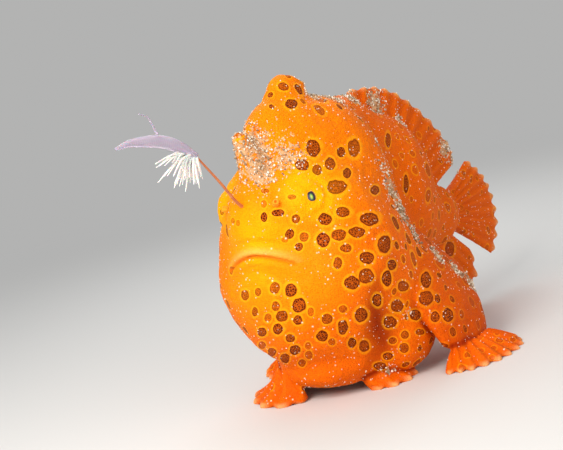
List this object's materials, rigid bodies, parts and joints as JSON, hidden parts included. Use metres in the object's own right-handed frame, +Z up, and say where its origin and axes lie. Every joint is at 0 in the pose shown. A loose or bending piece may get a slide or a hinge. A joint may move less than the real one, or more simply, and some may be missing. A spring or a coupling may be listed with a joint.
{
  "type": "painted frogfish model",
  "caption": "Life-size painted frogfish standing on its paired fins with its lure held forward, a still display model of a globular spotted fish.",
  "frame": {"origin": "on the floor under the middle of the model's box", "axes": "+X out of the snout, +Y to the fish's left, +Z up"},
  "size_m": [0.1966, 0.0948, 0.1018],
  "materials": {
    "skin": "fine prickly skin, orange with yellow and dark red-brown round spots",
    "fin_skin": "fleshy fin skin, orange with spots and pale ray tips",
    "eye": "wet yellow eye with a dark pupil",
    "lure": "pale mauve, half clear, with a white tuft",
    "rod": "thin tan-orange stalk"
  },
  "bodies": {
    "root": {"anal_fin": "fin_skin", "caudal_fin": "fin_skin", "dorsal_fin": "fin_skin", "esca": "lure", "eye_left": "eye", "eye_right": "eye", "head": "skin", "illicium": "rod", "pectoral_arm_left": "skin", "pectoral_arm_right": "skin", "pectoral_fin_left": "fin_skin", "pectoral_fin_right": "fin_skin", "pelvic_fin_left": "fin_skin", "pelvic_fin_right": "fin_skin", "second_dorsal_spine": "skin", "tail_stalk": "skin", "third_dorsal_spine": "skin", "trunk": "skin"}
  },
  "joints": []
}
